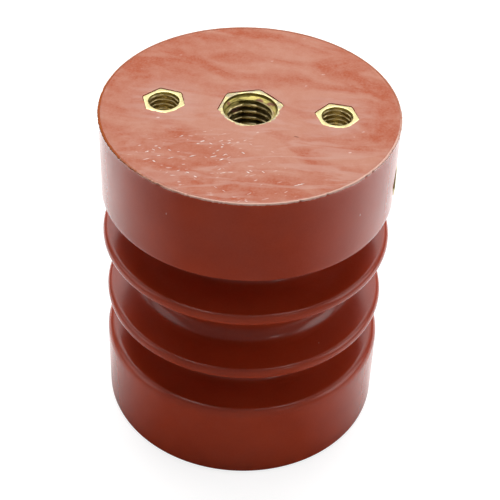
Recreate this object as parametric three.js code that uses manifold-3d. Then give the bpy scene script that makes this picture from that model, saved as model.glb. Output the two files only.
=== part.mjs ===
// Cast-resin post insulator with two sheds and a side tap.
// Millimetres, +Z up, origin at the centre of the underside.
// The three upper inserts lie along X, and the side tap faces +X.
import * as THREE from 'three';
import { mergeVertices } from 'three/addons/utils/BufferGeometryUtils.js';
import Module from 'manifold-3d';

const wasm = await Module();
wasm.setup();

// ---------------------------------------------------------------- driving dimensions

const TOTAL_HEIGHT = 87;
const DRUM_HEIGHT = 22;
const DRUM_RADIUS = 34.75;
const LIP_RADIUS = 35;
const LIP_HEIGHT = 0.5;
const NECK_RADIUS = 24;

// The two sheds aren't quite equal: the lower one is drawn in, so that the mould lets go of it.
const LOWER_SHED_RADIUS = 34.4;
const UPPER_SHED_RADIUS = 34.9;
const SHED_THICKNESS = 2.8;
const SHED_PITCH = 18;
const SHED_TOP_SLOPE = 5;
const SHED_UNDER_SLOPE = 3;

const BASE_EDGE_ROUND = 0.8;
const SHOULDER_ROUND = 2.2;
const UPPER_DRUM_EDGE_ROUND = 0.4;
const RIM_UPPER_ROUND = 1.5;
const RIM_LOWER_ROUND = 1.1;
const GROOVE_FILLET = 4;

const BODY_SEGMENTS = 64;
const BORE_SEGMENTS = 24;
const FILLET_STEPS = 4;
const ROUND_STEPS = 3;
const HEX_SIDES = 6;
const MERGE_DISTANCE = 1e-4;

// Resin is cast round every metal piece; the solids keep this much air between them.
const CASTING_GAP = 0.3;

// Cutting shapes reach this far past the face that they cut.
const OVERSHOOT = 1;

const SIDE_INSERT_SPACING = 40;
const TAP_HEIGHT = 71.2;
const TAP_FACE_RADIUS = 34.85;

// Hex inserts: width across flats, length, turned anchoring groove, blind threaded bore
// at its minor radius, and the countersink at its mouth.
const M12_INSERT = {
  flats: 13.9,
  length: 25,
  grooveFrom: 9,
  grooveTo: 15,
  grooveDepth: 1.2,
  boreRadius: 5.1,
  boreDepth: 20,
  mouthRadius: 6.3,
  mouthDepth: 1.5,
};
const M8_INSERT = {
  flats: 9.1,
  length: 13,
  grooveFrom: 5,
  grooveTo: 8.5,
  grooveDepth: 0.7,
  boreRadius: 3.35,
  boreDepth: 10.5,
  mouthRadius: 3.6,
  mouthDepth: 0.4,
};
const M5_INSERT = {
  flats: 8,
  length: 8.5,
  grooveFrom: 3,
  grooveTo: 5.5,
  grooveDepth: 0.8,
  boreRadius: 2.1,
  boreDepth: 6.8,
  mouthRadius: 2.7,
  mouthDepth: 0.6,
};

// The lower insert carries a round shank with a ball end, the electrode inside the post.
const SHANK_RADIUS = 4.5;
const SHANK_END_HEIGHT = 40;

const RING_RADIUS = 13;
const RING_THICKNESS = 0.8;
const RING_BOTTOM = 57;
const RING_TOP = 72;
const RING_SEAM_ANGLE = 14;
const RING_SEGMENTS = 36;
const RING_HOLE_RADIUS = 2.2;
const RING_HOLE_COUNT = 8;
const RING_HOLE_SIDES = 10;

const LEAD_WIDTH = 3;
const LEAD_THICKNESS = 0.8;
const LEAD_FOOT_HEIGHT = 6;
const LEAD_HEIGHT = 70.6;

const resin = new THREE.MeshStandardMaterial({ color: 0x7f2f1f, roughness: 0.3, metalness: 0 });
const brass = new THREE.MeshStandardMaterial({ color: 0xc9ae63, roughness: 0.35, metalness: 1 });
const copper = new THREE.MeshStandardMaterial({ color: 0xb87333, roughness: 0.4, metalness: 1 });

// ---------------------------------------------------------------- solids and booleans

// A closed geometry as a solid: shared vertices merged, flat triangles left out.
function toSolid(geometry) {
  const bare = geometry.clone();
  bare.deleteAttribute('normal');
  bare.deleteAttribute('uv');
  const merged = mergeVertices(bare, MERGE_DISTANCE);
  const corners = merged.index.array;
  const kept = [];
  for (let i = 0; i < corners.length; i += 3) {
    const [a, b, c] = [corners[i], corners[i + 1], corners[i + 2]];
    if (a !== b && b !== c && c !== a) {
      kept.push(a, b, c);
    }
  }
  return new wasm.Manifold(new wasm.Mesh({
    numProp: 3,
    vertProperties: new Float32Array(merged.attributes.position.array),
    triVerts: new Uint32Array(kept),
  }));
}

function toGeometry(solid) {
  const mesh = solid.getMesh();
  const geometry = new THREE.BufferGeometry();
  geometry.setAttribute('position', new THREE.BufferAttribute(mesh.vertProperties, 3));
  geometry.setIndex(new THREE.BufferAttribute(mesh.triVerts, 1));
  geometry.computeVertexNormals();
  return geometry;
}

// A profile of [radius, height] points turned round the Z axis. It starts and ends on the
// axis or comes back to its first point, and runs upward along its outer side.
function turned(profile, segments) {
  const points = profile.map(([radius, height]) => new THREE.Vector2(radius, height));
  return toSolid(new THREE.LatheGeometry(points, segments).rotateX(Math.PI / 2));
}

// Points of a circular arc in the radius-height plane, both ends included.
function arc(centreRadius, centreHeight, radius, fromDegrees, toDegrees, steps) {
  const points = [];
  for (let i = 0; i <= steps; i += 1) {
    const angle = THREE.MathUtils.degToRad(fromDegrees + ((toDegrees - fromDegrees) * i) / steps);
    points.push([centreRadius + radius * Math.cos(angle), centreHeight + radius * Math.sin(angle)]);
  }
  return points;
}

// ---------------------------------------------------------------- resin body

// The groove between two flanges: out of the lower flank, round the neck, into the upper one.
// Both flanks thicken towards the neck.
function groove(lower, upper) {
  const centreRadius = NECK_RADIUS + GROOVE_FILLET;
  const rise = THREE.MathUtils.degToRad(SHED_TOP_SLOPE);
  const fall = THREE.MathUtils.degToRad(SHED_UNDER_SLOPE);
  const lowerCentre = lower[1] + (lower[0] - centreRadius) * Math.tan(rise) + GROOVE_FILLET / Math.cos(rise);
  const upperCentre = upper[1] - (upper[0] - centreRadius) * Math.tan(fall) - GROOVE_FILLET / Math.cos(fall);
  return [
    ...arc(centreRadius, lowerCentre, GROOVE_FILLET, 270 - SHED_TOP_SLOPE, 180, FILLET_STEPS),
    ...arc(centreRadius, upperCentre, GROOVE_FILLET, 180, 90 + SHED_UNDER_SLOPE, FILLET_STEPS),
  ];
}

// A shed's rounded rim, from its lower flank to its upper one.
function shedRim(radius, centreHeight) {
  const low = centreHeight - SHED_THICKNESS / 2;
  const high = centreHeight + SHED_THICKNESS / 2;
  return [
    ...arc(radius - RIM_LOWER_ROUND, low + RIM_LOWER_ROUND, RIM_LOWER_ROUND, -90, 0, ROUND_STEPS),
    ...arc(radius - RIM_UPPER_ROUND, high - RIM_UPPER_ROUND, RIM_UPPER_ROUND, 0, 90, ROUND_STEPS),
  ];
}

function bodyProfile() {
  const middle = TOTAL_HEIGHT / 2;
  const upperDrumBottom = TOTAL_HEIGHT - DRUM_HEIGHT;
  const baseDrum = [
    ...arc(DRUM_RADIUS - BASE_EDGE_ROUND, BASE_EDGE_ROUND, BASE_EDGE_ROUND, -90, 0, ROUND_STEPS),
    ...arc(DRUM_RADIUS - SHOULDER_ROUND, DRUM_HEIGHT - SHOULDER_ROUND, SHOULDER_ROUND, 0, 90, ROUND_STEPS),
  ];
  const lowerShed = shedRim(LOWER_SHED_RADIUS, middle - SHED_PITCH / 2);
  const upperShed = shedRim(UPPER_SHED_RADIUS, middle + SHED_PITCH / 2);
  const upperDrum = arc(
    DRUM_RADIUS - UPPER_DRUM_EDGE_ROUND,
    upperDrumBottom + UPPER_DRUM_EDGE_ROUND,
    UPPER_DRUM_EDGE_ROUND,
    -90,
    0,
    ROUND_STEPS,
  );
  return [
    [0, 0],
    ...baseDrum,
    ...groove(baseDrum.at(-1), lowerShed[0]),
    ...lowerShed,
    ...groove(lowerShed.at(-1), upperShed[0]),
    ...upperShed,
    ...groove(upperShed.at(-1), upperDrum[0]),
    ...upperDrum,
    [DRUM_RADIUS, TOTAL_HEIGHT - 2 * LIP_HEIGHT],
    [LIP_RADIUS, TOTAL_HEIGHT - LIP_HEIGHT],
    [LIP_RADIUS, TOTAL_HEIGHT],
    [0, TOTAL_HEIGHT],
  ];
}

// ---------------------------------------------------------------- metal inserts

// A hex bar standing on the XY plane, with corners starting at the +X side.
function hexBar(flats, length) {
  const cornerRadius = flats / Math.sqrt(3);
  const outline = new THREE.Shape();
  for (let i = 0; i < HEX_SIDES; i += 1) {
    const angle = (i * 2 * Math.PI) / HEX_SIDES;
    const corner = [cornerRadius * Math.cos(angle), cornerRadius * Math.sin(angle)];
    if (i === 0) {
      outline.moveTo(...corner);
    } else {
      outline.lineTo(...corner);
    }
  }
  return toSolid(new THREE.ExtrudeGeometry(outline, { depth: length, bevelEnabled: false }));
}

// The outside of an insert, its open face at z = 0 and its tail towards -Z.
// With a gap it is the pocket that the resin leaves for it, open past the face.
function insertOutside(spec, gap, shankLength = 0) {
  const grooveRadius = spec.flats / 2 - spec.grooveDepth + gap;
  const tail = -spec.length - gap;
  const openEnd = gap > 0 ? OVERSHOOT : 0;
  // A turned outline, drawn past the bar's corners wherever the lathe left the hexagon whole.
  const corners = spec.flats;
  const turnedSide = turned([
    [0, tail],
    [spec.flats / 2 + gap, tail],
    [corners, tail + spec.flats / 4],
    [corners, -spec.grooveTo - spec.grooveDepth + gap],
    [grooveRadius, -spec.grooveTo + gap],
    [grooveRadius, -spec.grooveFrom - gap],
    [corners, -spec.grooveFrom + spec.grooveDepth - gap],
    [corners, OVERSHOOT],
    [0, OVERSHOOT],
  ], BORE_SEGMENTS);
  const bar = hexBar(spec.flats + 2 * gap, openEnd - tail).translate([0, 0, tail]);
  const outside = bar.intersect(turnedSide);
  if (shankLength === 0) {
    return outside;
  }
  const shankRadius = SHANK_RADIUS + gap;
  const ballHeight = tail - shankLength + shankRadius;
  const shank = turned([
    ...arc(0, ballHeight, shankRadius, -90, 0, FILLET_STEPS),
    [shankRadius, tail + OVERSHOOT],
    [0, tail + OVERSHOOT],
  ], BORE_SEGMENTS);
  return outside.add(shank);
}

// The blind bore with its countersunk mouth, reaching past the open face.
function insertBore(spec) {
  return turned([
    [0, -spec.boreDepth - spec.boreRadius / 2],
    [spec.boreRadius, -spec.boreDepth],
    [spec.boreRadius, -spec.mouthDepth],
    [spec.mouthRadius, 0],
    [spec.mouthRadius, OVERSHOOT],
    [0, OVERSHOOT],
  ], BORE_SEGMENTS);
}

// Each insert's place: the middle of its open face, the way that face looks, and its turn.
const INSERTS = [
  {
    name: 'top_center_insert',
    spec: M12_INSERT,
    face: [0, 0, TOTAL_HEIGHT],
    tilt: [0, 0, 0],
    turn: 19,
  },
  {
    name: 'top_left_insert',
    spec: M8_INSERT,
    face: [-SIDE_INSERT_SPACING / 2, 0, TOTAL_HEIGHT],
    tilt: [0, 0, 0],
    turn: 48,
  },
  {
    name: 'top_right_insert',
    spec: M8_INSERT,
    face: [SIDE_INSERT_SPACING / 2, 0, TOTAL_HEIGHT],
    tilt: [0, 0, 0],
    turn: 54,
  },
  {
    name: 'side_tap_insert',
    spec: M5_INSERT,
    face: [TAP_FACE_RADIUS, 0, TAP_HEIGHT],
    tilt: [0, 90, 0],
    turn: 30,
  },
  {
    name: 'base_center_insert',
    spec: M12_INSERT,
    face: [0, 0, 0],
    tilt: [180, 0, 0],
    turn: 0,
    shank: SHANK_END_HEIGHT - M12_INSERT.length,
  },
];

function inPlace(solid, insert) {
  return solid.rotate([0, 0, insert.turn]).rotate(insert.tilt).translate(insert.face);
}

// ---------------------------------------------------------------- coupling ring and its lead

// A rolled strip with an open seam at -X. With a gap it is the channel the resin leaves.
function ringBand(gap) {
  const inner = RING_RADIUS - RING_THICKNESS / 2 - gap;
  const outer = RING_RADIUS + RING_THICKNESS / 2 + gap;
  const band = turned([
    [inner, RING_BOTTOM - gap],
    [outer, RING_BOTTOM - gap],
    [outer, RING_TOP + gap],
    [inner, RING_TOP + gap],
    [inner, RING_BOTTOM - gap],
  ], RING_SEGMENTS);
  const seamWidth = 2 * RING_RADIUS * Math.tan(THREE.MathUtils.degToRad(RING_SEAM_ANGLE / 2)) - 2 * gap;
  const seam = toSolid(new THREE.BoxGeometry(RING_RADIUS, seamWidth, 2 * TOTAL_HEIGHT));
  return band.subtract(seam.translate([-RING_RADIUS, 0, 0]));
}

// Radial holes through the strip, half a step away from the seam and from the lead.
function ringHoles() {
  const middle = (RING_BOTTOM + RING_TOP) / 2;
  const step = 360 / RING_HOLE_COUNT;
  const holes = [];
  for (let i = 0; i < RING_HOLE_COUNT; i += 1) {
    const pin = toSolid(new THREE.CylinderGeometry(
      RING_HOLE_RADIUS,
      RING_HOLE_RADIUS,
      RING_RADIUS,
      RING_HOLE_SIDES,
    ));
    holes.push(pin.translate([0, RING_RADIUS, middle]).rotate([0, 0, step * (i + 1 / 2)]));
  }
  return holes.reduce((all, hole) => all.add(hole));
}

// A bent strip: its foot stands against the ring, its arm reaches the tail of the tap.
function tapLead(gap) {
  const start = RING_RADIUS + RING_THICKNESS / 2 + CASTING_GAP;
  const end = TAP_FACE_RADIUS - M5_INSERT.length - CASTING_GAP;
  const top = LEAD_HEIGHT + LEAD_THICKNESS / 2;
  const outline = new THREE.Shape();
  outline.moveTo(start - gap, top - LEAD_FOOT_HEIGHT - gap);
  outline.lineTo(start + LEAD_THICKNESS + gap, top - LEAD_FOOT_HEIGHT - gap);
  outline.lineTo(start + LEAD_THICKNESS + gap, top - LEAD_THICKNESS - gap);
  outline.lineTo(end + gap, top - LEAD_THICKNESS - gap);
  outline.lineTo(end + gap, top + gap);
  outline.lineTo(start - gap, top + gap);
  outline.closePath();
  const width = LEAD_WIDTH + 2 * gap;
  const strip = new THREE.ExtrudeGeometry(outline, { depth: width, bevelEnabled: false });
  return toSolid(strip.rotateX(Math.PI / 2).translate(0, width / 2, 0));
}

// ---------------------------------------------------------------- assembly

const insulator = new THREE.Group();

function addPart(name, solid, material) {
  const mesh = new THREE.Mesh(toGeometry(solid), material);
  mesh.name = name;
  insulator.add(mesh);
}

let body = turned(bodyProfile(), BODY_SEGMENTS);
for (const insert of INSERTS) {
  const outside = inPlace(insertOutside(insert.spec, 0, insert.shank), insert);
  const bore = inPlace(insertBore(insert.spec), insert);
  addPart(insert.name, outside.subtract(bore), brass);
  body = body.subtract(inPlace(insertOutside(insert.spec, CASTING_GAP, insert.shank), insert));
}

addPart('coupling_ring', ringBand(0).subtract(ringHoles()), copper);
addPart('tap_lead', tapLead(0), copper);
body = body.subtract(ringBand(CASTING_GAP)).subtract(tapLead(CASTING_GAP));
addPart('resin_body', body, resin);

export default insulator;
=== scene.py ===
# %% [markdown]
# # A cast-resin post insulator
#
# The object is one block of brown-red filled epoxy, cast round five threaded brass inserts. Two plain
# drums close its ends, and two thin sheds stand out from the neck between them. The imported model
# gives the overall size and the inserts' places. This script adds what a casting really looks like: a
# mirror skin where the mould touched it, a scuffed and cloudy face where it was poured and trimmed, a
# ragged thread of flash round that face, and real helical threads in the brass.

# %% Load the fixed frame
import math

import bpy
import numpy as np
from mathutils import Matrix, Vector, noise


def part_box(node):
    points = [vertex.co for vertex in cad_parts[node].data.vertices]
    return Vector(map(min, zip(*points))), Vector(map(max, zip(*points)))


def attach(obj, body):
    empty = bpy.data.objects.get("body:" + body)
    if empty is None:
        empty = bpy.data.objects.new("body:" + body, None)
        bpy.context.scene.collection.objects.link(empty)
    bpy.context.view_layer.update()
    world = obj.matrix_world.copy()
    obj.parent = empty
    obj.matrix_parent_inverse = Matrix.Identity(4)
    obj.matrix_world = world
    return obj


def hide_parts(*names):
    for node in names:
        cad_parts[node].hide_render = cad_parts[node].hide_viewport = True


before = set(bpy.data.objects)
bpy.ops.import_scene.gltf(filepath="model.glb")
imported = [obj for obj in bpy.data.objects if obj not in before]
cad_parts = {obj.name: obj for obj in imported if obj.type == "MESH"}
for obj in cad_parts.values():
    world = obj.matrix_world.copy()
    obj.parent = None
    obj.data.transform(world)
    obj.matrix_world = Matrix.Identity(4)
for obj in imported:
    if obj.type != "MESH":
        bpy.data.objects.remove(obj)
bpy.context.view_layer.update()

MM = 0.001

# %% [markdown]
# ## Places that everything else hangs on
#
# Each insert's box tells where its open face is: the post's height, the row of three inserts and the
# tap on the side all come from here. A box doesn't say what lies inside it, so the sizes of the section
# and of the inserts are named values further down.

# %% Read places from the frame
body_low, body_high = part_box("resin_body")
total_height = body_high.z
lip_radius = body_high.x


def face_centre(node, direction):
    """The middle of a node's box, pushed out to the side that `direction` points to."""
    low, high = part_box(node)
    middle = (low + high) / 2
    reach = (high - low) / 2
    return middle + Vector((d * r for d, r in zip(direction, reach)))


UP, DOWN, EAST = Vector((0, 0, 1)), Vector((0, 0, -1)), Vector((1, 0, 0))
top_center_face = face_centre("top_center_insert", UP)
top_left_face = face_centre("top_left_insert", UP)
top_right_face = face_centre("top_right_insert", UP)
side_tap_face = face_centre("side_tap_insert", EAST)
base_center_face = face_centre("base_center_insert", DOWN)
for face in (top_center_face, top_left_face, top_right_face, side_tap_face, base_center_face):
    print("insert face at (mm):", [round(v / MM, 2) for v in face])

# %% [markdown]
# ## The camera
#
# The view looks down on the post from about forty degrees, a little to one side of the row of inserts,
# through a moderately long lens. A long lens close in still makes the top drum clearly wider than the
# base, so the distance matters as much as the angle. Distances here are multiples of the body's radius,
# because a camera fitted to an object only knows its proportions.

# %% Camera
CAMERA_AZIMUTH = math.radians(4.75)
CAMERA_ELEVATION = math.radians(41.08)
CAMERA_ROLL = math.radians(2.32)
CAMERA_DISTANCE = 9.79
CAMERA_SIDESTEP = 0.036
CAMERA_RISE = 0.008
LENS_PER_FRAME = 2.743
SENSOR_WIDTH = 36.0
NEAR_CLIP = 0.01


def place_camera():
    turn = Matrix.Rotation(CAMERA_AZIMUTH, 3, "Z")
    back = turn @ Vector((0, -math.cos(CAMERA_ELEVATION), math.sin(CAMERA_ELEVATION)))
    level_right = turn @ Vector((1, 0, 0))
    level_up = turn @ Vector((0, math.sin(CAMERA_ELEVATION), math.cos(CAMERA_ELEVATION)))
    right = math.cos(CAMERA_ROLL) * level_right + math.sin(CAMERA_ROLL) * level_up
    up = math.cos(CAMERA_ROLL) * level_up - math.sin(CAMERA_ROLL) * level_right
    aim = Vector((0, 0, total_height / 2))
    step = CAMERA_SIDESTEP * right + CAMERA_RISE * up + CAMERA_DISTANCE * back
    data = bpy.data.cameras.new("camera")
    data.sensor_width = SENSOR_WIDTH
    data.lens = SENSOR_WIDTH * LENS_PER_FRAME
    data.clip_start = NEAR_CLIP
    camera = bpy.data.objects.new("camera", data)
    facing = Matrix((right, up, back)).transposed().to_4x4()
    camera.matrix_world = Matrix.Translation(aim + lip_radius * step) @ facing
    bpy.context.scene.collection.objects.link(camera)
    bpy.context.scene.camera = camera
    return camera


camera = place_camera()
print("camera at (mm):", [round(v / MM) for v in camera.matrix_world.translation])

# %% [markdown]
# ## Skinning a stack of loops
#
# Everything on this object is a stack of closed loops: circles up the casting, hexagons up a brass bar,
# a bore whose radius wavers with the thread. A lathe tool would only give perfect circles. Writing the
# loops lets one function make all of them, and lets a loop be as irregular as the real edge is.

# %% Skin a stack of loops
def skin(name, loops):
    """A closed mesh through loops of equal length, with a point closing each end."""
    count = len(loops[0])
    points = [tuple(p) for loop in loops for p in loop]
    faces = []
    for row in range(len(loops) - 1):
        for i in range(count):
            j = (i + 1) % count
            a, b = row * count, (row + 1) * count
            faces.append((a + i, a + j, b + j, b + i))
    for row, forward in ((0, False), (len(loops) - 1, True)):
        hub = len(points)
        points.append(tuple(np.mean(loops[row], axis=0)))
        for i in range(count):
            j = (i + 1) % count
            pair = (row * count + i, row * count + j)
            faces.append((*pair, hub) if forward else (*pair[::-1], hub))
    mesh = bpy.data.meshes.new(name)
    mesh.from_pydata(points, [], faces)
    mesh.update()
    piece = bpy.data.objects.new(name, mesh)
    bpy.context.scene.collection.objects.link(piece)
    return piece


def circle_points(radii, heights, angles):
    """One loop of points, in metres, from radii and heights in millimetres."""
    flat = np.broadcast_arrays(radii * np.cos(angles), radii * np.sin(angles), heights)
    return np.stack(flat, axis=1) * MM


def wander(x, y, z=0.0):
    """Smooth seeded noise between about -1 and 1."""
    return noise.noise(Vector((x, y, z)))


# %% [markdown]
# ## The outline of the casting
#
# Half of a section through the post, in millimetres: base drum, three grooves and two rims, upper drum.
# Round stretches are arcs. The mould's lower drum has a soft shoulder, while the upper drum's lower edge
# is almost sharp, and the sheds thicken slightly towards the neck so that the part can leave the mould.

# %% Section of the casting
DRUM_HEIGHT = 22.0
DRUM_RADIUS = 34.75
SHOULDER = 2.2
NECK_RADIUS = 24.0
LOWER_SHED_RADIUS = 34.4
UPPER_SHED_RADIUS = 34.9
SHED_THICKNESS = 2.8
SHED_PITCH = 18.0
TOP_SLOPE = 5.0
UNDER_SLOPE = 3.0
GROOVE_FILLET = 4.0
HEIGHT = total_height / MM


def arc(centre, radius, start, end, steps=8):
    angles = np.radians(np.linspace(start, end, steps + 1))
    return [(centre[0] + radius * math.cos(a), centre[1] + radius * math.sin(a)) for a in angles]


def groove(lower, upper):
    """The hollow between two flanges: a fillet, the neck's wall, and a second fillet."""
    centre = NECK_RADIUS + GROOVE_FILLET
    rise, fall = math.radians(TOP_SLOPE), math.radians(UNDER_SLOPE)
    low = lower[1] + (lower[0] - centre) * math.tan(rise) + GROOVE_FILLET / math.cos(rise)
    high = upper[1] - (upper[0] - centre) * math.tan(fall) - GROOVE_FILLET / math.cos(fall)
    return (arc((centre, low), GROOVE_FILLET, 270 - TOP_SLOPE, 180)
            + arc((centre, high), GROOVE_FILLET, 180, 90 + UNDER_SLOPE))


def shed_rim(radius, middle, under=1.1, over=1.5):
    low, high = middle - SHED_THICKNESS / 2, middle + SHED_THICKNESS / 2
    return (arc((radius - under, low + under), under, -90, 0)
            + arc((radius - over, high - over), over, 0, 90))


def subdivide(points, step=1.1):
    """Adds points on the straight stretches, so that the surface can be made slightly uneven."""
    out = [points[0]]
    for a, b in zip(points, points[1:]):
        pieces = max(1, int(math.dist(a, b) / step))
        out += [(a[0] + (b[0] - a[0]) * k / pieces, a[1] + (b[1] - a[1]) * k / pieces)
                for k in range(1, pieces + 1)]
    return out


base_drum = (arc((DRUM_RADIUS - 0.8, 0.8), 0.8, -90, 0)
             + arc((DRUM_RADIUS - SHOULDER, DRUM_HEIGHT - SHOULDER), SHOULDER, 0, 90))
lower_shed = shed_rim(LOWER_SHED_RADIUS, HEIGHT / 2 - SHED_PITCH / 2)
upper_shed = shed_rim(UPPER_SHED_RADIUS, HEIGHT / 2 + SHED_PITCH / 2)
upper_drum = arc((DRUM_RADIUS - 0.35, HEIGHT - DRUM_HEIGHT + 0.35), 0.35, -90, 0, 4)
side_section = (base_drum + groove(base_drum[-1], lower_shed[0]) + lower_shed
                + groove(lower_shed[-1], upper_shed[0]) + upper_shed
                + groove(upper_shed[-1], upper_drum[0]) + upper_drum
                + [(DRUM_RADIUS, HEIGHT - 0.9)])
side_section = subdivide(side_section)
print("points up the side of the section:", len(side_section))

# %% [markdown]
# ## The casting itself
#
# The side is the section swept round, with a wobble of a few hundredths of a millimetre so that
# reflections bend the way they do in real castings. The poured face is flat only to the eye: it gets
# low waves. Its edge is flash, a thin lip of resin that crept over the mould and was snapped off, so
# the lip's reach changes from place to place and is missing where it chipped. It was trimmed well on
# the far side, so it fades out there. A sculpted edge could look the same, but noise that closes on
# itself round the post gives a torn edge from a few numbers, and it can be changed in one place.

# %% How far the flash reaches
SEGMENTS = 480
angles = np.linspace(0, 2 * math.pi, SEGMENTS, endpoint=False)


def around(scale, seed, height=0.0):
    """Noise that closes on itself round the post."""
    return np.array([wander(scale * math.cos(a) + seed, scale * math.sin(a), height) for a in angles])


def chips(count, width, seed):
    """Small bites out of an edge, each up to about two degrees wide."""
    picks = np.random.default_rng(seed)
    bite = np.zeros(SEGMENTS)
    for _ in range(count):
        centre, size = picks.uniform(0, 2 * math.pi), picks.uniform(0.4, 1.0)
        gap = np.abs((angles - centre + math.pi) % (2 * math.pi) - math.pi)
        bite = np.maximum(bite, size * np.clip(1 - gap / (width * size), 0, 1))
    return bite


FLASH_REACH = 0.3
ragged = 0.6 + 0.35 * around(24.0, 3.0) + 0.7 * around(90.0, 9.0)
untrimmed = np.clip(0.5 - 1.2 * np.sin(angles), 0.1, 1.0)
flash = untrimmed * (FLASH_REACH * np.clip(ragged, 0.1, 1.1) - 0.45 * chips(count=44, width=0.016, seed=11))
print("flash reaches out by (mm):", round(float(flash.min()), 2), "to", round(float(flash.max()), 2))

# %% Build the casting
RING_STEP = 0.7


def top_relief(x, y):
    """Height of the poured face over its flat, in millimetres."""
    waves = 0.035 * wander(x * 0.07, y * 0.11, 5.0) + 0.018 * wander(x * 0.3, y * 0.45, 2.0)
    return waves + 0.006 * wander(x * 1.1, y * 1.6, 8.0)


def casting_loops():
    loops = []
    for radius in np.arange(2.0, side_section[0][0], 2.0):
        loops.append(circle_points(radius + 0 * angles, 0.0, angles))
    for radius, height in side_section:
        wobble = 0.03 * around(1.3, height * 0.08) + 0.008 * around(6.0, height * 0.3)
        foot = min(1.0, height / 3.0)
        loops.append(circle_points(radius + wobble * foot, height, angles))
    lip = DRUM_RADIUS + flash
    crest = 0.02 + 0.12 * flash
    edge = [(DRUM_RADIUS + 0.2 * flash, -0.52), (lip - 0.04, -0.34), (lip, -0.2), (lip - 0.06, -0.05),
            (lip - 0.22, crest), (DRUM_RADIUS - 0.34 + 0.3 * flash, crest - 0.02),
            (DRUM_RADIUS - 0.47 + 0.3 * flash, -0.1)]
    loops += [circle_points(radius, HEIGHT + rise, angles) for radius, rise in edge]
    for radius in np.append(np.arange(DRUM_RADIUS - 0.62, 1.0, -RING_STEP), 0.6):
        relief = np.array([top_relief(radius * math.cos(a), radius * math.sin(a)) for a in angles])
        loops.append(circle_points(radius + 0 * angles, HEIGHT - 0.02 + relief, angles))
    return loops


casting = skin("resin_casting", casting_loops())
print("casting faces:", len(casting.data.polygons))

# %% [markdown]
# ## Brass inserts with real threads
#
# Each insert starts as a length of hexagonal bar. A groove is turned round it so that the resin can
# grip, and a blind hole is bored and tapped. The thread is the one thing here that a stack of circles
# can't show: the radius of the bore depends on height and on angle together, which makes one continuous
# helix. The profile is the standard sixty-degree one, with a flat crest and a narrower flat root. A
# screw modifier could sweep the same groove, but it would then have to be cut out of the bar.

# %% Insert sizes
INSERT_STEPS = 96
LOOPS_PER_TURN = 10
M12 = dict(flats=13.9, length=25.0, groove=(9.0, 15.0, 1.2), major=6.0, minor=5.1, pitch=1.75,
           bore=20.0, mouth=6.3, mouth_depth=1.3)
M8 = dict(flats=9.1, length=13.0, groove=(5.0, 8.5, 0.7), major=4.0, minor=3.32, pitch=1.25,
          bore=10.5, mouth=3.62, mouth_depth=0.5)
M5 = dict(flats=8.0, length=8.5, groove=(3.0, 5.5, 0.8), major=2.5, minor=2.1, pitch=0.8,
          bore=6.8, mouth=2.7, mouth_depth=0.6)
SHANK_RADIUS = 4.5
shank_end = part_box("base_center_insert")[1].z / MM

# %% Outline and thread of an insert
insert_angles = np.linspace(0, 2 * math.pi, INSERT_STEPS, endpoint=False)


def hexagon(flats, seed=0.0, uneven=0.0):
    """Radius of a hexagon at each angle, its corners a little worn."""
    fold = (insert_angles + math.pi / 6) % (math.pi / 3) - math.pi / 6
    radius = (flats / 2) / np.cos(math.pi / 6 - np.abs(fold))
    radius = np.minimum(radius, flats / math.sqrt(3) * 0.98)
    ripple = [wander(5 * math.cos(a) + seed, 5 * math.sin(a))
              + 0.6 * wander(14 * math.cos(a), 14 * math.sin(a) + seed) for a in insert_angles]
    return radius + uneven * np.array(ripple)


def thread_radius(spec, depth):
    """Radius of the tapped wall at each angle, at one depth below the face."""
    turn = (-depth / spec["pitch"] - insert_angles / (2 * math.pi)) % 1.0
    rise = np.clip((turn - 0.25) / 0.3125, 0, 1) - np.clip((turn - 0.6875) / 0.3125, 0, 1)
    start = np.clip((depth - spec["mouth_depth"] * 0.6) / (spec["pitch"] * 0.4), 0, 1)
    wall = spec["minor"] + (spec["major"] - spec["minor"]) * rise
    mouth = spec["mouth"] - 0.12 * min(depth / spec["mouth_depth"], 1.0)
    return mouth + (np.minimum(wall, mouth) - mouth) * start


# %% Loops of an insert
def shank_loops(tail, gap=0.0):
    """A round rod with a round end, which carries the lower insert's contact up into the casting."""
    ball = arc((0, tail + SHANK_RADIUS), SHANK_RADIUS, -86, 0, 10)
    return [circle_points(max(r, 0.3) + gap + 0 * insert_angles, h, insert_angles) for r, h in ball]


def insert_loops(spec, sink, tail=None):
    """Loops from the tail, up the outside, over the face and down the threaded bore."""
    groove_from, groove_to, groove_depth = spec["groove"]
    outside = hexagon(spec["flats"], 2.0, 0.02)
    turned = np.minimum(outside, spec["flats"] / 2 - groove_depth)
    rounded = np.minimum(outside, spec["flats"] / 2)
    loops = shank_loops(tail) if tail else []
    if tail:
        loops.append(circle_points(SHANK_RADIUS + 0 * insert_angles, -spec["length"] - 0.1, insert_angles))
    shape = [(rounded * 0.97, -spec["length"]), (rounded, -spec["length"] + 0.4),
             (outside, -spec["length"] + 1.6), (outside, -groove_to - groove_depth),
             (turned, -groove_to), (turned, -groove_from), (outside, -groove_from + groove_depth),
             (outside, -1.0), (outside, -sink - 0.25), (outside - 0.1, -sink - 0.05),
             (outside - 0.3, -sink)]
    loops += [circle_points(radii, height, insert_angles) for radii, height in shape]
    rim = outside - 0.3
    mouth = spec["mouth"]
    loops += [circle_points(rim + (mouth + 0.1 - rim) * share, -sink, insert_angles)
              for share in (0.35, 0.7, 0.93)]
    loops.append(circle_points(mouth + 0.03 + 0 * insert_angles, -sink - 0.03, insert_angles))
    for depth in np.arange(0.12, spec["bore"], spec["pitch"] / LOOPS_PER_TURN):
        loops.append(circle_points(thread_radius(spec, depth), -sink - depth, insert_angles))
    drill_end = [(spec["minor"] * 0.97, 0.1), (0.4, spec["minor"] * 0.5)]
    loops += [circle_points(radius + 0 * insert_angles, -spec["bore"] - drop, insert_angles)
              for radius, drop in drill_end]
    return loops


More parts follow.
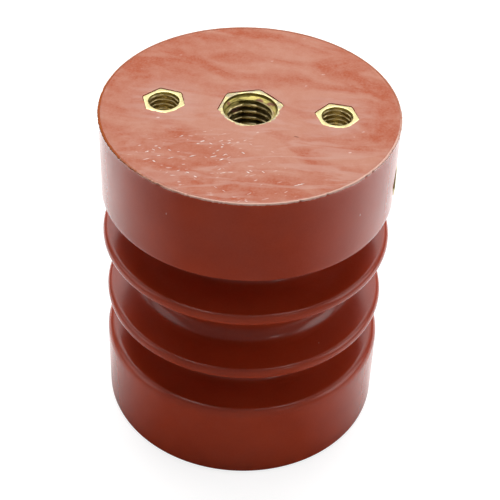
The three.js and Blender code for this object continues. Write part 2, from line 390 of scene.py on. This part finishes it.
# %% Loops of an insert's seat
def cutter_loops(spec, seed, film, lean=0.0, tail=None):
    """The space an insert takes in the resin, ragged at the face, where resin crept over the brass."""
    snug = hexagon(spec["flats"], 2.0, 0.02) + 0.02
    rough = np.array([wander(8 * math.cos(a), 8 * math.sin(a), seed) for a in insert_angles])
    shrunk = snug + 0.1 + 0.05 * rough
    creep = np.array([
        wander(3 * math.cos(a) + seed, 3 * math.sin(a), seed)
        + 0.7 * wander(11 * math.cos(a), 11 * math.sin(a) + seed, seed) for a in insert_angles])
    cover = np.clip(film * (0.4 + 1.2 * creep + np.cos(insert_angles - lean)), 0.02, 0.93)
    ragged_edge = shrunk - cover * (shrunk - spec["mouth"] - 0.2)
    bottom = -spec["length"] - 0.02
    loops = shank_loops(tail, gap=0.02) if tail else []
    if tail:
        loops.append(circle_points(SHANK_RADIUS + 0.02 + 0 * insert_angles, bottom, insert_angles))
    shape = [(snug, bottom), (snug, -0.6), (shrunk, -0.45), (shrunk, -0.12), (ragged_edge, -0.1),
             (ragged_edge, -0.03), (ragged_edge + 0.12, 0.04), (ragged_edge + 0.3, 1.0)]
    return loops + [circle_points(radii, height, insert_angles) for radii, height in shape]


# %% [markdown]
# ## Setting the inserts and cutting their seats
#
# In the mould, the inserts stand on pins and the resin flows round them. Here it goes the other way:
# each insert's own outline, a shade larger, is cut out of the casting with a boolean. The manifold
# solver is quick and exact on closed meshes like these. The ring and lead sealed in the resin are cut
# out too, so that no two pieces share the same space.

# %% Place the inserts
BRASS_SINK = 0.07
TAP_SINK = 0.0
FILM_SIDE = -75
ROW_SPACING = 20.0


def placement(face, tilt_degrees, turn_degrees):
    tilt = Matrix.Rotation(math.radians(tilt_degrees), 4, "Y")
    return Matrix.Translation(face) @ tilt @ Matrix.Rotation(math.radians(turn_degrees), 4, "Z")


def on_the_row(face):
    """A box round a hexagon misses its thread's axis by a hair, so the place snaps to the row."""
    return Vector((round(face.x / MM / ROW_SPACING) * ROW_SPACING * MM, 0, total_height))


INSERTS = [
    dict(name="top_center_insert", spec=M12, face=on_the_row(top_center_face), tilt=0, turn=19,
         film=0.5, seed=4.3),
    dict(name="top_left_insert", spec=M8, face=on_the_row(top_left_face), tilt=0, turn=48,
         film=0.2, seed=1.7),
    dict(name="top_right_insert", spec=M8, face=on_the_row(top_right_face), tilt=0, turn=54,
         film=0.2, seed=8.2),
    dict(name="side_tap_insert", spec=M5, face=side_tap_face, tilt=90, turn=30,
         film=0.05, seed=6.1),
    dict(name="base_center_insert", spec=M12, face=base_center_face, tilt=180, turn=0,
         film=0.2, seed=2.9, tail=-shank_end),
]

brass_pieces = {}
cutters = []
for insert in INSERTS:
    where = placement(insert["face"], insert["tilt"], insert["turn"])
    sink = TAP_SINK if insert["name"] == "side_tap_insert" else BRASS_SINK
    piece = skin("brass_" + insert["name"], insert_loops(insert["spec"], sink, insert.get("tail")))
    piece.data.transform(where)
    brass_pieces[insert["name"]] = piece
    lean = math.radians(FILM_SIDE - insert["turn"])
    loops = cutter_loops(insert["spec"], insert["seed"], insert["film"], lean, insert.get("tail"))
    cutter = skin("cutter", loops)
    cutter.data.transform(where)
    cutters.append(cutter)
print("brass pieces:", sorted(brass_pieces))

# %% Cut the seats
def cut(target, tools):
    """Subtracts each tool from the target and keeps the result as the target's own mesh."""
    for tool in tools:
        cutting = target.modifiers.new("cut", "BOOLEAN")
        cutting.operation = "DIFFERENCE"
        cutting.solver = "MANIFOLD"
        cutting.object = tool
    result = bpy.data.meshes.new_from_object(target.evaluated_get(bpy.context.evaluated_depsgraph_get()))
    target.modifiers.clear()
    target.data = result


inner_pieces = [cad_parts[name] for name in ("coupling_ring", "tap_lead")]
cut(casting, cutters + inner_pieces)
for cutter in cutters:
    bpy.data.objects.remove(cutter)
print("casting faces after cutting:", len(casting.data.polygons))

# %% [markdown]
# ## Materials: helpers
#
# Procedural materials are small graphs. A few short helpers keep them readable: they add a node and
# wire its inputs, count places and noise in millimetres, because Blender's own units are metres, and
# mix colours by a mask. An ellipse with a soft edge is enough to say where something lies.

# %% Node helpers
class Graph:
    """A material's node tree, with short ways to add and connect nodes."""

    def __init__(self, name):
        self.material = bpy.data.materials.new(name)
        self.material.use_nodes = True
        self.tree = self.material.node_tree
        self.tree.nodes.clear()
        self.shader = self.add("ShaderNodeBsdfPrincipled")
        output = self.add("ShaderNodeOutputMaterial")
        self.tree.links.new(self.shader.outputs["BSDF"], output.inputs["Surface"])
        self.place = self.add("ShaderNodeTexCoord").outputs["Object"]

    def add(self, kind, settings=None, **inputs):
        node = self.tree.nodes.new(kind)
        for key, value in (settings or {}).items():
            setattr(node, key, value)
        for key, value in inputs.items():
            self.feed(node.inputs[key.replace("_", " ")], value)
        return node

    def feed(self, socket, value):
        if isinstance(value, bpy.types.NodeSocket):
            self.tree.links.new(value, socket)
        else:
            socket.default_value = value

    def stretched(self, size_mm, turn=0.0, centre_mm=(0, 0, 0)):
        """Object coordinates seen from a centre, turned, and counted in units of the given sizes."""
        node = self.add("ShaderNodeMapping", {"vector_type": "TEXTURE"}, Vector=self.place)
        node.inputs["Location"].default_value = [c * MM for c in centre_mm]
        node.inputs["Rotation"].default_value = (0, 0, math.radians(turn))
        node.inputs["Scale"].default_value = [s * MM for s in size_mm]
        return node.outputs["Vector"]

    def inside(self, size_mm, turn=0.0, centre_mm=(0, 0, 0), soft=0.4):
        """A mask that is 1 within an ellipse and fades to 0 at its edge."""
        spot = self.add("ShaderNodeVectorMath", {"operation": "LENGTH"},
                        Vector=self.stretched(size_mm, turn, centre_mm))
        return self.ramp(spot.outputs["Value"], 1 - soft, 1.0, 1.0, 0.0)

    def noise(self, size_mm, detail=4.0, roughness=0.55, distortion=0.0, turn=0.0):
        size = size_mm if isinstance(size_mm, tuple) else (size_mm,) * 3
        node = self.add("ShaderNodeTexNoise", None, Vector=self.stretched(size, turn), Scale=1.0,
                        Detail=detail, Roughness=roughness, Distortion=distortion)
        return node.outputs["Fac"]

    def ramp(self, value, low, high, out_low=0.0, out_high=1.0):
        node = self.add("ShaderNodeMapRange", {"clamp": True})
        limits = {"Value": value, "From Min": low, "From Max": high, "To Min": out_low, "To Max": out_high}
        for key, number in limits.items():
            self.feed(node.inputs[key], number)
        return node.outputs["Result"]

    def math(self, operation, *terms):
        node = self.add("ShaderNodeMath", {"operation": operation})
        for socket, term in zip(node.inputs, terms):
            self.feed(socket, term)
        return node.outputs["Value"]

    def mix(self, factor, a, b):
        node = self.add("ShaderNodeMix", {"data_type": "RGBA"})
        self.feed(node.inputs["Factor"], factor)
        self.feed(node.inputs["A"], (*a, 1.0) if isinstance(a, tuple) else a)
        self.feed(node.inputs["B"], (*b, 1.0) if isinstance(b, tuple) else b)
        return node.outputs["Result"]

    def bump(self, height, distance_mm, strength=1.0, below=None):
        node = self.add("ShaderNodeBump", None, Height=height, Strength=strength, Distance=distance_mm * MM)
        if below is not None:
            self.feed(node.inputs["Normal"], below)
        return node.outputs["Normal"]

    def finish(self, color, roughness, normal=None, **plain):
        self.feed(self.shader.inputs["Base Color"], color)
        self.feed(self.shader.inputs["Roughness"], roughness)
        if normal is not None:
            self.feed(self.shader.inputs["Normal"], normal)
        for key, value in plain.items():
            self.shader.inputs[key.replace("_", " ")].default_value = value
        return self.material


# %% [markdown]
# ## Resin off the mould
#
# Where the mould touched it, filled epoxy copies the polished steel: a deep brown-red with a clear gloss.
# It isn't perfect. Mould wax leaves faint patches, the filler makes a barely visible grain, and handling
# leaves a few pale specks. Colour and roughness both wander a little, and the bump stays very shallow.

# %% Moulded resin
def moulded_resin():
    g = Graph("moulded_resin")
    patches = g.noise(14.0, detail=3.0)
    grain = g.noise(0.45, detail=2.0)
    color = g.mix(g.ramp(patches, 0.35, 0.7), (0.32, 0.032, 0.008), (0.375, 0.042, 0.012))
    color = g.mix(g.ramp(grain, 0.3, 0.75, 0.0, 0.25), color, (0.42, 0.06, 0.025))
    cells = g.stretched((8.0, 8.0, 12.0))
    speck = g.add("ShaderNodeTexVoronoi", {"feature": "F1"}, Vector=cells, Scale=1.0)
    near = g.math("LESS_THAN", speck.outputs["Distance"], 0.022)
    color = g.mix(g.math("MULTIPLY", near, 0.6), color, (0.6, 0.4, 0.34))
    roughness = g.ramp(g.noise(9.0, detail=5.0), 0.3, 0.75, 0.16, 0.27)
    normal = g.bump(grain, 0.004, 0.5)
    normal = g.bump(g.noise(5.0, detail=2.0), 0.03, 0.4, normal)
    return g.finish(color, roughness, normal, IOR=1.45)


resin_material = moulded_resin()

# %% [markdown]
# ## The poured face
#
# The open face was scraped flat and has been handled and scuffed: a paler, satin salmon red, clouded
# with greyish streaks that mostly run along the row of inserts. Short bright scratches crowd one area,
# and one longer scratch and one dark spot, painted shade for a nick, lie apart. The scratches, pale
# marks with a painted glint, are cells of a stretched Voronoi pattern. A cell is drawn only if its
# random number is high, and a second random number says how bright it is, so no two marks are alike.
# Six layers of them point in six directions.

# %% Scratches as stretched cells
DEEP = 50.0
SCRATCH_LAYERS = [(5.0, 0.85, 28), (3.4, 0.8, 44), (4.4, 0.9, 8), (2.6, 0.8, -30), (3.2, 1.1, 36),
                  (2.4, 0.8, 20)]


def scratch_and_glint_dashes(g, length_mm, width_mm, turn, density, shift):
    """A mask of short dashes lying in one direction."""
    cells = g.stretched((length_mm, width_mm, DEEP), turn, (shift, 2 * shift, 0))
    spot = g.add("ShaderNodeTexVoronoi", {"feature": "F1"}, Vector=cells, Scale=1.0, Randomness=1.0)
    near = g.ramp(spot.outputs["Distance"], 0.1, 0.2, 1.0, 0.0)
    chance = g.add("ShaderNodeSeparateColor", None, Color=spot.outputs["Color"])
    picked = g.math("GREATER_THAN", chance.outputs["Red"], 1 - density)
    brightness = g.ramp(chance.outputs["Green"], 0.0, 0.8, 0.15, 1.0)
    return g.math("MULTIPLY", near, g.math("MULTIPLY", picked, brightness))


def scratches_and_glints(g, grain):
    """Layers of pale dashes with a painted glint in the crowded area, one long scratch, and a few faint
    marks anywhere.
    """
    crowd = g.math("MAXIMUM", g.inside((20, 12, DEEP), -10, (-7, -21, HEIGHT)),
                   g.inside((13, 7, DEEP), 0, (2, -28, HEIGHT)))
    marks = g.inside((1.4, 0.14, DEEP), 28, (13.4, -26.5, HEIGHT))
    for index, (length, width, turn) in enumerate(SCRATCH_LAYERS):
        dashes = scratch_and_glint_dashes(g, length, width, turn, density=0.3, shift=3.1 * index + 1)
        marks = g.math("MAXIMUM", marks, g.math("MULTIPLY", dashes, crowd))
    faint = g.math("MULTIPLY", scratch_and_glint_dashes(g, 2.6, 1.4, 20, density=0.07, shift=7.7), 0.3)
    marks = g.math("MAXIMUM", marks, faint)
    return g.math("MULTIPLY", marks, g.ramp(grain, 0.35, 0.6, 0.35, 1.0))


# %% Poured face
def poured_face():
    g = Graph("poured_face")
    clouds = g.noise((19.0, 8.0, DEEP), detail=4.0, roughness=0.55, distortion=0.7, turn=-8)
    wipes = g.noise((13.0, 3.0, DEEP), detail=3.0, roughness=0.5, distortion=1.2, turn=6)
    grain = g.noise(0.55, detail=3.0, roughness=0.6)
    handled = g.inside((34, 20, DEEP), -6, (3, -7, HEIGHT), soft=0.7)
    haze = g.ramp(g.math("MULTIPLY_ADD", handled, 0.16, clouds), 0.41, 0.66)
    color = g.mix(haze, (0.302, 0.054, 0.012), (0.37, 0.15, 0.096))
    front = g.inside((40, 24, DEEP), 0, (4, -22, HEIGHT), soft=0.5)
    wiped = g.math("MULTIPLY", g.ramp(wipes, 0.5, 0.6), front)
    color = g.mix(g.math("MULTIPLY", wiped, 0.42), color, (0.43, 0.25, 0.20))
    for place in (top_left_face, top_center_face, top_right_face):
        ring = g.inside((10.5, 10.5, DEEP), 0, [c / MM for c in place], soft=0.5)
        film = g.math("MULTIPLY", ring, g.ramp(wipes, 0.35, 0.6, 0.05, 0.45))
        color = g.mix(film, color, (0.42, 0.25, 0.21))
    color = g.mix(g.ramp(grain, 0.35, 0.75, 0.0, 0.3), color, (0.42, 0.2, 0.15))
    mottle = g.noise(2.4, detail=4.0, roughness=0.7)
    color = g.mix(g.ramp(mottle, 0.42, 0.68, 0.0, 0.22), color, (0.45, 0.24, 0.18))
    marks = scratches_and_glints(g, grain)
    # Painted highlight: the dashes are near white, partly the pale resin of a scratch and partly a painted
    # glint.
    color = g.mix(marks, color, (0.95, 0.86, 0.82))
    # Painted shade: one small dark spot stands for the shadow in a nick; there is no dent in the mesh.
    nick_shade = g.inside((0.75, 0.16, DEEP), -12, (11.4, -9.4, HEIGHT))
    color = g.mix(nick_shade, color, (0.12, 0.03, 0.012))
    roughness = g.ramp(haze, 0.0, 1.0, 0.3, 0.48)
    normal = g.bump(grain, 0.012, 0.5)
    normal = g.bump(clouds, 0.25, 0.5, normal)
    normal = g.bump(marks, 0.2, 0.9, normal)
    return g.finish(color, roughness, normal, IOR=1.26)


face_material = poured_face()

# %% [markdown]
# ## Torn flash
#
# Snapped resin is pale, because the break scatters light from countless tiny facets. Where it only
# crept thinly over the mould it stays orange-brown, and where it was trimmed well it has the colour of
# the poured face. It is the same stuff all round, so one material covers it: a direction across the
# post, roughened by noise, says how torn each stretch is.
# Dark spots along the lip's lower edge are painted shade, for the shadow inside chips and under the
# overhang.

# %% Torn flash
TORN_TOWARDS = (0.55, -0.83, 0)


def torn_flash():
    g = Graph("torn_flash")
    breaks = g.noise((0.9, 0.9, 0.6), detail=5.0, roughness=0.7)
    around_rim = g.add("ShaderNodeVectorMath", {"operation": "DOT_PRODUCT"})
    g.feed(around_rim.inputs[0], g.place)
    around_rim.inputs[1].default_value = [c / (DRUM_RADIUS * MM) for c in TORN_TOWARDS]
    torn = g.ramp(g.math("MULTIPLY_ADD", breaks, 1.5, around_rim.outputs["Value"]), 0.9, 1.5)
    color = g.mix(torn, (0.27, 0.066, 0.018), (0.53, 0.33, 0.27))
    spot = g.add("ShaderNodeSeparateXYZ", None, Vector=g.place)
    at_back = g.ramp(spot.outputs["Y"], 0.0, 20 * MM)
    color = g.mix(at_back, color, (0.36, 0.14, 0.085))
    # Painted shade: dark spots near the lip's lower edge stand for the shadow in chips and under the lip.
    cells = g.stretched((4.5, 4.5, DEEP))
    bites = g.add("ShaderNodeTexVoronoi", {"feature": "F1"}, Vector=cells, Scale=1.0)
    chip_shade = g.ramp(bites.outputs["Distance"], 0.12, 0.2, 1.0, 0.0)
    low = g.ramp(spot.outputs["Z"], total_height - 0.25 * MM, total_height - 0.1 * MM, 1.0, 0.0)
    color = g.mix(g.math("MULTIPLY", chip_shade, low), color, (0.06, 0.01, 0.004))
    normal = g.bump(breaks, 0.1, 0.8)
    return g.finish(color, g.ramp(breaks, 0.3, 0.7, 0.6, 0.8), normal, IOR=1.12)


flash_material = torn_flash()

# %% [markdown]
# ## Brass
#
# A faced hexagon is pale yellow brass, a little uneven. A thin dull skin of resin covers part of the
# large one, so the same function makes two finishes from how much film there is. Down in the bore the
# brass has dulled to olive brown, and painted shade makes it darker with depth; traces of resin stay on
# the first turns. The crests of the threads are painted paler than the flanks, as a painted highlight.
# Metal needs no deep colour: most of what shows is what it mirrors, so its roughness matters more.

# %% Faced brass
def machined_brass(name, film):
    """Faced brass. The larger `film` is, the more of it a thin dull skin covers."""
    g = Graph(name)
    smear = g.noise((2.2, 1.2, 2.2), detail=5.0, roughness=0.65, distortion=0.8)
    fine = g.noise(0.25, detail=2.0)
    dull = g.ramp(g.noise(1.7, detail=4.0, roughness=0.65), 0.62 - film, 0.70 - film, 0.0, 0.8)
    color = g.mix(g.ramp(fine, 0.3, 0.7), (0.50, 0.43, 0.20), (0.58, 0.50, 0.26))
    color = g.mix(dull, color, (0.34, 0.29, 0.19))
    color = g.mix(g.ramp(smear, 0.66, 0.72, 0.0, 0.7), color, (0.35, 0.14, 0.05))
    metal = g.math("MULTIPLY", g.ramp(smear, 0.66, 0.72, 1.0, 0.3), g.ramp(dull, 0.0, 0.8, 1.0, 0.35))
    g.feed(g.shader.inputs["Metallic"], metal)
    normal = g.bump(fine, 0.012, 0.7)
    return g.finish(color, g.ramp(smear, 0.3, 0.7, 0.24, 0.42), normal)


# %% Brass in the bores, and copper
def crest_highlight_brass():
    g = Graph("crest_highlight_brass")
    tarnish = g.noise((2.6, 2.6, 1.2), detail=4.0, roughness=0.6)
    # Painted highlight: the crests are coloured paler than the flanks, for the highlights along them.
    color = g.mix(g.ramp(tarnish, 0.3, 0.7), (0.42, 0.32, 0.13), (0.70, 0.58, 0.32))
    g.feed(g.shader.inputs["Metallic"], 1.0)
    normal = g.bump(g.noise(0.3, detail=3.0), 0.01, 0.5)
    return g.finish(color, g.ramp(tarnish, 0.3, 0.7, 0.25, 0.4), normal)


def dulled_and_shaded_brass():
    g = Graph("dulled_and_shaded_brass")
    tarnish = g.noise((2.6, 2.6, 1.2), detail=4.0, roughness=0.6)
    residue = g.noise((3.0, 3.0, 1.4), detail=3.0, distortion=0.5)
    height = g.add("ShaderNodeSeparateXYZ", None, Vector=g.place).outputs["Z"]
    # Painted shade: the brass is mixed towards a far darker colour with depth, for the shade deep in the
    # blind bore. The olive tarnish is the brass's own.
    depth = g.math("MINIMUM", height, g.math("SUBTRACT", total_height, height))
    shallow = g.mix(g.ramp(tarnish, 0.3, 0.7), (0.34, 0.28, 0.07), (0.48, 0.41, 0.13))
    deep = g.mix(g.ramp(tarnish, 0.3, 0.7), (0.09, 0.06, 0.018), (0.17, 0.125, 0.04))
    color = g.mix(g.ramp(depth, 0.7 * MM, 3.2 * MM), shallow, deep)
    color = g.mix(g.ramp(residue, 0.58, 0.66, 0.0, 0.85), color, (0.17, 0.03, 0.01))
    g.feed(g.shader.inputs["Metallic"], g.ramp(residue, 0.58, 0.66, 0.9, 0.1))
    normal = g.bump(g.noise(0.3, detail=3.0), 0.02, 0.6)
    return g.finish(color, g.ramp(tarnish, 0.3, 0.7, 0.28, 0.45), normal)


def rolled_copper():
    g = Graph("rolled_copper")
    roll_marks = g.noise((6.0, 6.0, 0.3), detail=3.0)
    color = g.mix(g.ramp(roll_marks, 0.3, 0.7), (0.62, 0.26, 0.13), (0.80, 0.42, 0.27))
    normal = g.bump(roll_marks, 0.02, 0.5)
    return g.finish(color, g.ramp(roll_marks, 0.3, 0.7, 0.25, 0.4), normal, Metallic=1.0)


brass_material = machined_brass("machined_brass", film=0.0)
filmed_material = machined_brass("filmed_brass", film=0.16)
crest_highlight_material, bore_material = crest_highlight_brass(), dulled_and_shaded_brass()
copper_material = rolled_copper()

# %% [markdown]
# ## Which face wears which finish
#
# The casting is one mesh with three finishes. A face belongs to the poured face if it lies at the top
# and looks up, to the flash if it is on the lip, and to the mould otherwise. On an insert, whatever is
# inside the hexagon's hole and below its face is bore, and the innermost faces there are crests. Rules
# like these hold for any count of faces, so nobody has to pick them by hand.

# %% Material helpers
EDGE_ANGLE = math.radians(38)


def face_table(piece):
    mesh = piece.data
    centres = np.empty(len(mesh.polygons) * 3)
    normals = np.empty(len(mesh.polygons) * 3)
    mesh.polygons.foreach_get("center", centres)
    mesh.polygons.foreach_get("normal", normals)
    return centres.reshape(-1, 3) / MM, normals.reshape(-1, 3)


def wear(piece, materials, indices):
    piece.data.materials.clear()
    for material in materials:
        piece.data.materials.append(material)
    piece.data.polygons.foreach_set("material_index", indices.astype(np.int32))
    piece.data.polygons.foreach_set("use_smooth", np.ones(len(indices), bool))
    piece.data.set_sharp_from_angle(angle=EDGE_ANGLE)
    piece.data.update()


# %% Finishes of the casting
LIP_DEPTH = 0.3
GROOVE_BEHIND_LIP = 0.45
centres, normals = face_table(casting)
spread = np.hypot(centres[:, 0], centres[:, 1])
at_top = centres[:, 2] > HEIGHT - LIP_DEPTH
on_top = at_top & (normals[:, 2] > 0.5) & (spread < DRUM_RADIUS - GROOVE_BEHIND_LIP)
on_lip = at_top & (spread > DRUM_RADIUS - GROOVE_BEHIND_LIP)
wear(casting, [resin_material, face_material, flash_material],
     np.where(on_lip, 2, np.where(on_top, 1, 0)))
print("faces on the poured face:", int(on_top.sum()), "and on the lip:", int(on_lip.sum()))

# %% Finishes of the inserts, the ring and the lead
MUCH_FILM = 0.3
for insert in INSERTS:
    piece = brass_pieces[insert["name"]]
    local = placement(insert["face"], insert["tilt"], insert["turn"]).inverted()
    centres, _ = face_table(piece)
    rows = np.array(local.to_3x3())
    centres = centres @ rows.T + np.array(local.translation) / MM
    from_axis, spec = np.hypot(centres[:, 0], centres[:, 1]), insert["spec"]
    in_bore = (from_axis < spec["mouth"] + 0.04) & (centres[:, 2] < -0.09)
    in_bore &= centres[:, 2] > -spec["bore"] - spec["minor"]
    # The crest faces wear the paler brass that paints their highlights.
    on_crest = in_bore & (from_axis < spec["minor"] + 0.18) & (centres[:, 2] > -spec["bore"])
    faced = filmed_material if insert["film"] > MUCH_FILM else brass_material
    wear(piece, [faced, bore_material, crest_highlight_material], in_bore.astype(int) + on_crest)

for name in ("coupling_ring", "tap_lead"):
    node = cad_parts[name]
    node.data.materials.clear()
    node.data.materials.append(copper_material)
print("materials on an insert:", [m.name for m in piece.data.materials])

# %% [markdown]
# ## Floor and light
#
# A glossy dark object is lit by what it reflects. Here the strong light comes from behind and above, so
# the poured face takes a satin sheen, while the tops of the sheds stay dark under their neighbours. The
# white floor throws light back up into the drums' sides. In reflections only, the floor is dark in
# front and brighter at the sides, as if a dark card lay before the post and white cards beside it: that
# keeps the fronts deep red and draws white edges down the drums. A tiny lamp puts a glint on the rims.

# %% Floor
FLOOR_HALF = 1.6
FLOOR_GAP = 0.0002
FLOOR_LIFT = 0.8
FLOOR_SHEEN = 0.25


def pale_floor():
    mesh = bpy.data.meshes.new("floor")
    corners = [(x * FLOOR_HALF, y * FLOOR_HALF, 0) for x, y in ((-1, -1), (1, -1), (1, 1), (-1, 1))]
    mesh.from_pydata(corners, [], [(0, 1, 2, 3)])
    floor = bpy.data.objects.new("floor", mesh)
    floor.location.z = -FLOOR_GAP
    bpy.context.scene.collection.objects.link(floor)
    g = Graph("pale_floor")
    rays = g.add("ShaderNodeLightPath")
    seen, mirrored = rays.outputs["Is Camera Ray"], rays.outputs["Is Glossy Ray"]
    way = g.add("ShaderNodeVectorMath", {"operation": "NORMALIZE"}, Vector=g.place).outputs["Vector"]
    front = g.ramp(g.add("ShaderNodeSeparateXYZ", None, Vector=way).outputs["Y"], -0.8, 0.12, 1.0, 0.0)
    color = g.mix(g.math("MULTIPLY", front, mirrored), (0.93, 0.93, 0.93), (0.05, 0.05, 0.05))
    g.feed(g.shader.inputs["Emission Color"], (1.0, 1.0, 1.0, 1.0))
    beside = g.math("MULTIPLY", mirrored, g.math("SUBTRACT", 1.0, front))
    lift = g.math("MULTIPLY_ADD", beside, FLOOR_SHEEN, g.math("MULTIPLY", seen, FLOOR_LIFT))
    g.feed(g.shader.inputs["Emission Strength"], lift)
    floor.data.materials.append(g.finish(g.mix(seen, color, (0.3, 0.3, 0.3)), 0.9))


pale_floor()

# %% Lights
LAMP_AIM = 0.6


def soft_box(name, azimuth, elevation, distance, width, height, brightness):
    """A rectangular lamp aimed at the post. Azimuth is counted from the camera's side, to the right."""
    data = bpy.data.lights.new(name, "AREA")
    data.shape = "RECTANGLE"
    data.size, data.size_y = width, height
    data.energy = brightness * math.pi * width * height
    lamp = bpy.data.objects.new(name, data)
    turn = math.radians(azimuth) + CAMERA_AZIMUTH
    lift = math.radians(elevation)
    aim = Vector((0, 0, total_height * LAMP_AIM))
    way = Vector((math.cos(lift) * math.sin(turn), -math.cos(lift) * math.cos(turn), math.sin(lift)))
    lamp.location = aim + distance * way
    lamp.rotation_euler = way.to_track_quat("Z", "Y").to_euler()
    bpy.context.scene.collection.objects.link(lamp)


soft_box("high_box", 180, 75, 1.0, 0.8, 0.8, 5.6)
soft_box("back_box", 180, 45, 1.1, 1.3, 1.0, 1.0)
soft_box("back_left_box", -145, 45, 1.0, 0.6, 0.8, 1.35)
soft_box("back_right_box", 145, 45, 1.0, 0.6, 0.8, 1.1)
soft_box("left_box", -90, 30, 0.9, 0.6, 0.5, 1.1)
soft_box("right_box", 90, 30, 0.9, 0.6, 0.5, 2.2)
soft_box("glint_lamp", 38, 38, 0.7, 0.02, 0.02, 60.0)


# %% World
FILL_LIGHT = 0.05
FILL_MIRRORED = 0.3


def studio_world():
    """A faint fill from all round, a little stronger in reflections, and plain white for the camera."""
    world = bpy.data.worlds.new("studio")
    world.use_nodes = True
    tree = world.node_tree
    rays = tree.nodes.new("ShaderNodeLightPath")
    strength = FILL_LIGHT
    for ray, level in (("Is Glossy Ray", FILL_MIRRORED), ("Is Camera Ray", 1.0)):
        choose = tree.nodes.new("ShaderNodeMapRange")
        tree.links.new(rays.outputs[ray], choose.inputs["Value"])
        if isinstance(strength, float):
            choose.inputs["To Min"].default_value = strength
        else:
            tree.links.new(strength, choose.inputs["To Min"])
        choose.inputs["To Max"].default_value = level
        strength = choose.outputs["Result"]
    background = tree.nodes["Background"]
    background.inputs["Color"].default_value = (1.0, 1.0, 1.0, 1.0)
    tree.links.new(strength, background.inputs["Strength"])
    bpy.context.scene.world = world


studio_world()
bpy.context.scene.view_settings.view_transform = "Standard"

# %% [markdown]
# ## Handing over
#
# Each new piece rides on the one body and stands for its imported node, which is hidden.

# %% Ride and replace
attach(casting, "root")
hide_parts("resin_body")
for name, piece in brass_pieces.items():
    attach(piece, "root")
    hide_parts(name)
